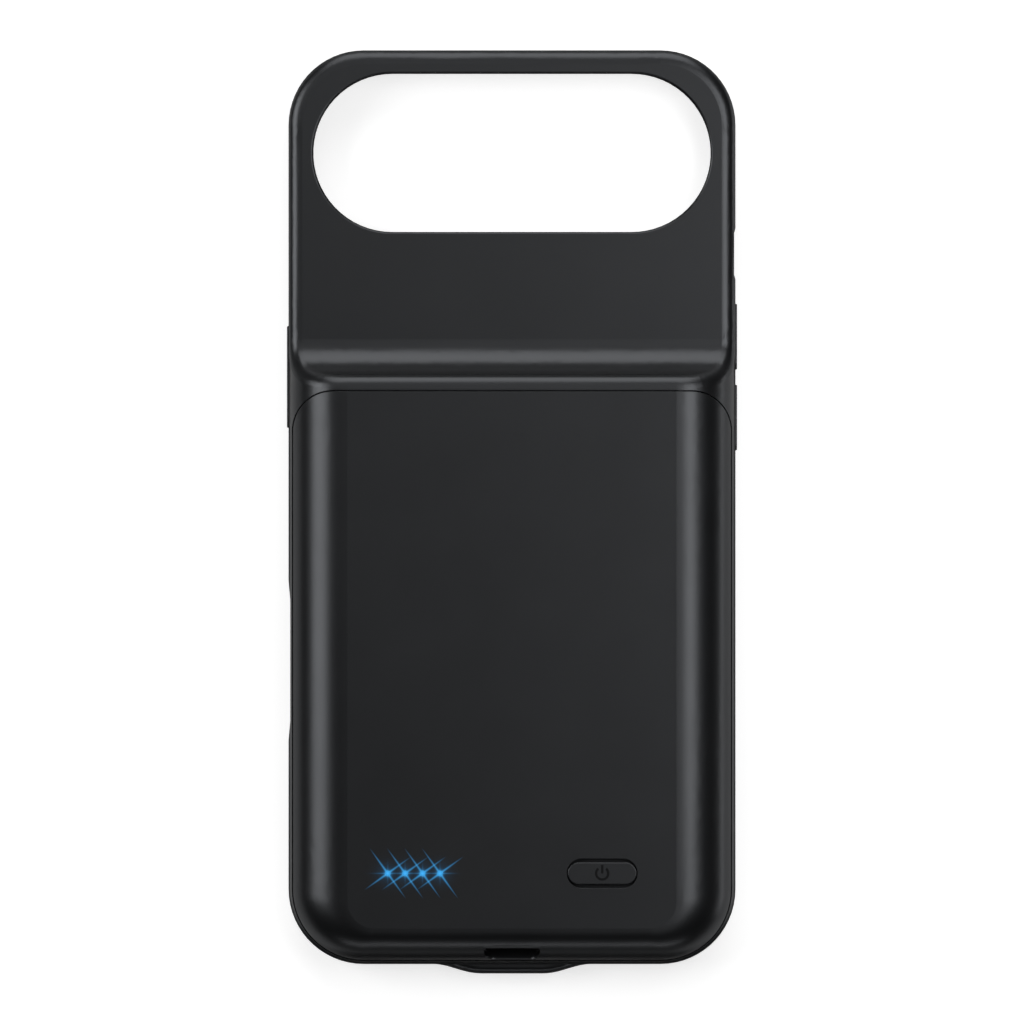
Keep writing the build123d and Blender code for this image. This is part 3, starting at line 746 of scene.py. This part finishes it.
def stage_sheet(name, low, high, level, material):
    """A flat sheet of the stage between two corners."""
    bm = bmesh.new()
    middle = Vector(((low[0] + high[0]) / 2, (low[1] + high[1]) / 2, level))
    size = Matrix.Diagonal((high[0] - low[0], high[1] - low[1], 1, 1))
    bmesh.ops.create_grid(bm, x_segments=8, y_segments=8, size=0.5, matrix=Matrix.Translation(middle) @ size)
    mesh = bpy.data.meshes.new(name)
    bm.to_mesh(mesh)
    bm.free()
    mesh.materials.append(material)
    sheet = bpy.data.objects.new(name, mesh)
    bpy.context.scene.collection.objects.link(sheet)
    sheet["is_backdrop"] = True
    return sheet


def black_cards(stage):
    """Black cards on the floor round the case and before its foot. Only reflections show them: they keep the
    lowest edges dark."""
    low, high = solid_box
    left, right = low.x - stage.card_side, high.x + stage.card_side
    black = plain_plastic("card_black", (0.02, 0.02, 0.02), 0.9, speck=1 * MM, sheen=0)
    reaches = {
        "black_card": (low.y - stage.card_foot, high.y + stage.card_head),
        "foot_card": (low.y - stage.foot_card_reach, low.y - stage.foot_card),
    }
    level = 0.1 * MM
    for name, (near, far) in reaches.items():
        card = stage_sheet(name, (left, near), (right, far), level, black)
        card.visible_camera = card.visible_diffuse = card.visible_transmission = card.visible_shadow = False


def floor_finish(stage):
    """A pale floor that shows as white, and keeps the case's shadow."""
    finish = Finish("floor_white")
    path = finish.node("ShaderNodeLightPath", output="Is Camera Ray").socket.node.outputs
    straight, glossy, through = (
        Value(finish, path[name]) for name in ("Is Camera Ray", "Is Glossy Ray", "Is Transmission Ray")
    )
    shown = (straight + through + stage.floor_sheen * glossy).within(0, 1)
    mottle = finish.cloud(0.4, detail=2)
    colour = finish.mix(mottle, paler(stage.floor, 0.99), stage.floor)
    matt = finish.node("ShaderNodeBsdfDiffuse", inputs={"Color": colour})
    lift = finish.node("ShaderNodeEmission", inputs={"Strength": shown * stage.floor_lift})
    both = finish.tree.nodes.new("ShaderNodeAddShader")
    finish.feed(both.inputs[0], matt)
    finish.feed(both.inputs[1], lift)
    finish.node("ShaderNodeOutputMaterial", inputs={"Surface": Value(finish, both.outputs[0])})
    return finish.material


class CASE_OT_set_stage(bpy.types.Operator):
    """Lay out the floor, the room, the softboxes and the camera straight above the case"""

    bl_idname = "battery_case.set_stage"
    bl_label = "Set stage"

    def execute(self, context):
        stage = context.scene.battery_case.stage
        reach = 12
        stage_sheet("floor", (-reach, -reach), (reach, reach), 0, floor_finish(stage))
        black_cards(stage)
        self.room(context, stage)
        softbox_ring(stage)
        self.camera(context, stage)
        return {"FINISHED"}

    def room(self, context, stage):
        """An even dim room, and plain colours in the picture."""
        world = bpy.data.worlds.new("room")
        world.use_nodes = True
        background = world.node_tree.nodes["Background"]
        background.inputs["Color"].default_value = (stage.room, stage.room, stage.room, 1)
        context.scene.world = world
        context.scene.view_settings.view_transform = "Standard"

    def camera(self, context, stage):
        """A long lens straight above the case, with the camera window at the top of the picture."""
        lens = bpy.data.cameras.new("camera")
        lens.lens = lens.sensor_width * (stage.camera_height - stage.view_level) / stage.view_width
        camera = bpy.data.objects.new("camera", lens)
        context.scene.collection.objects.link(camera)
        camera.location = (0, 0, stage.camera_height)
        context.scene.camera = camera


class CASE_PT_panel(bpy.types.Panel):
    """Lists the steps that dress the battery charging case"""

    bl_idname = "CASE_PT_panel"
    bl_label = "Battery Charging Case"
    bl_space_type = "VIEW_3D"
    bl_region_type = "UI"
    bl_category = "Case"

    def draw(self, context):
        case = context.scene.battery_case
        groups = [case.shell, case.lamps, case.mark, case.contacts, case.stage]
        for group in groups:
            box = self.layout.box()
            for name in group.__annotations__:
                box.prop(group, name)
        for step in STEPS:
            self.layout.operator(step.bl_idname)


STEPS = [
    CASE_OT_finish_shell,
    CASE_OT_finish_lamps,
    CASE_OT_finish_connectors,
    CASE_OT_finish_inside,
    CASE_OT_add_power_mark,
    CASE_OT_add_contacts,
    CASE_OT_set_stage,
]
GROUPS = [ShellSettings, LampSettings, MarkSettings, ContactSettings, StageSettings, CaseSettings]


def register():
    for kind in GROUPS + STEPS + [CASE_PT_panel]:
        bpy.utils.register_class(kind)
    bpy.types.Scene.battery_case = PointerProperty(type=CaseSettings)


def unregister():
    del bpy.types.Scene.battery_case
    for kind in reversed(GROUPS + STEPS + [CASE_PT_panel]):
        bpy.utils.unregister_class(kind)


def main():
    """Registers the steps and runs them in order."""
    register()
    bpy.ops.battery_case.finish_shell()
    bpy.ops.battery_case.finish_lamps()
    bpy.ops.battery_case.finish_connectors()
    bpy.ops.battery_case.finish_inside()
    bpy.ops.battery_case.add_power_mark()
    bpy.ops.battery_case.add_contacts()
    bpy.ops.battery_case.set_stage()
    boxes = {"cad": solid_box, "visual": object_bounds()}
    sizes = {name: [list(corner) for corner in corners] for name, corners in boxes.items()}


if __name__ == "__main__":
    main()
